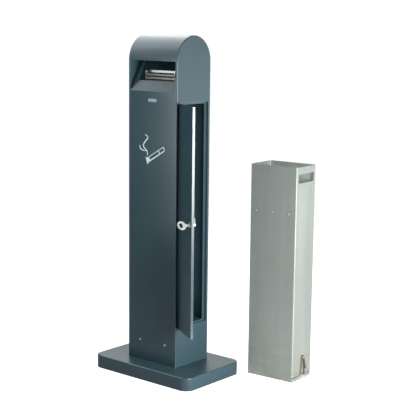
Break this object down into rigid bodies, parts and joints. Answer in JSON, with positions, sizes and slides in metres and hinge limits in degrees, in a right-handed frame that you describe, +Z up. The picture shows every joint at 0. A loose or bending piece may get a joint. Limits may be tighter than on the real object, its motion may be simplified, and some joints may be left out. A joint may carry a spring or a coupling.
{
  "type": "ashtray bin",
  "caption": "Free-standing sheet-metal ashtray post on a flat base, with a domed top, a smokers' mouth, a locked side door and a lift-out liner with a drop flap.",
  "frame": {"origin": "on the floor, under the middle of the base, on the rubber mat's underside", "axes": "+Z up; -Y towards the front with the mouth; +X towards the side with the door"},
  "size_m": [0.5464, 0.396, 1],
  "materials": {
    "powder_coat": "semi-gloss fine-texture powder coat, dark slate grey",
    "galvanised_sheet": "zinc-coated sheet, satin with a fine spangle",
    "stainless": "brushed stainless steel",
    "plated_steel": "bright zinc or nickel plating",
    "dull_zinc": "dull zinc plating, weathered",
    "spring_wire": "drawn spring steel wire, browned by handling",
    "nickelled": "nickel plating, worn by use",
    "black_steel": "black primer",
    "rubber": "matt",
    "bronze_bush": "plain bearing bronze",
    "blank_label": "satin anodised, blank",
    "white_vinyl": "white cut vinyl"
  },
  "bodies": {
    "housing": {"rubber_mat": "rubber", "base_plate": "black_steel", "spacer_tubes": "plated_steel", "base_cover": "powder_coat", "foot_bracket": "galvanised_sheet", "base_bolts": "plated_steel", "left_side_panel": "powder_coat", "right_side_panel": "powder_coat", "front_panel": "powder_coat", "back_and_roof_panel": "powder_coat", "door_frame": "powder_coat", "butt_chute": "galvanised_sheet", "stub_grid": "stainless", "grid_studs": "plated_steel", "liner_shelf": "powder_coat", "column_bolts": "dull_zinc", "column_nuts": "plated_steel", "hinge_bushes": "bronze_bush", "label_plate": "blank_label", "label_rivets": "plated_steel", "smoking_symbol": "white_vinyl"},
    "door": {"door_pan": "powder_coat", "hinge_pins": "dull_zinc", "lock_body": "plated_steel", "lock_nut": "plated_steel"},
    "lock_barrel": {"lock_plug": "plated_steel", "lock_cam": "dull_zinc", "cam_screw": "plated_steel"},
    "key": {"door_key": "nickelled"},
    "liner": {"liner_shell": "galvanised_sheet", "stiffener_strip": "galvanised_sheet", "liner_rivets": "dull_zinc", "flap_hinge_rod": "dull_zinc", "latch_stud": "plated_steel"},
    "flap": {"liner_flap": "galvanised_sheet", "latch_bracket": "plated_steel", "bracket_rivets": "plated_steel"},
    "latch": {"latch_wire": "spring_wire"}
  },
  "joints": [
    {"name": "door_hinge", "type": "hinge", "parent": "housing", "child": "door", "pos_m": [0.089, -0.0507, 0.481], "axis": [0, 0, -1], "range_deg": [-120.5, 3.5]},
    {"name": "lock_turn", "type": "hinge", "parent": "door", "child": "lock_barrel", "pos_m": [0.17881, -0.10708, 0.481], "axis": [0.5075, 0.8616, 0], "range_deg": [0, 90]},
    {"name": "key_pull", "type": "slide", "parent": "lock_barrel", "child": "key", "axis": [-0.5075, -0.8616, 0], "range_m": [0, 0.035]},
    {"name": "liner_lift", "type": "slide", "parent": "housing", "child": "liner", "axis": [0, 0, 1], "range_m": [0, 0.175]},
    {"name": "flap_hinge", "type": "hinge", "parent": "liner", "child": "flap", "pos_m": [0.20036, 0.19322, 0.0042], "axis": [-0.0698, 0.9976, 0], "range_deg": [0, 90]},
    {"name": "latch_swing", "type": "hinge", "parent": "flap", "child": "latch", "pos_m": [0.35498, 0.20403, 0.013], "axis": [-0.0698, 0.9976, 0], "range_deg": [0, 100]}
  ]
}
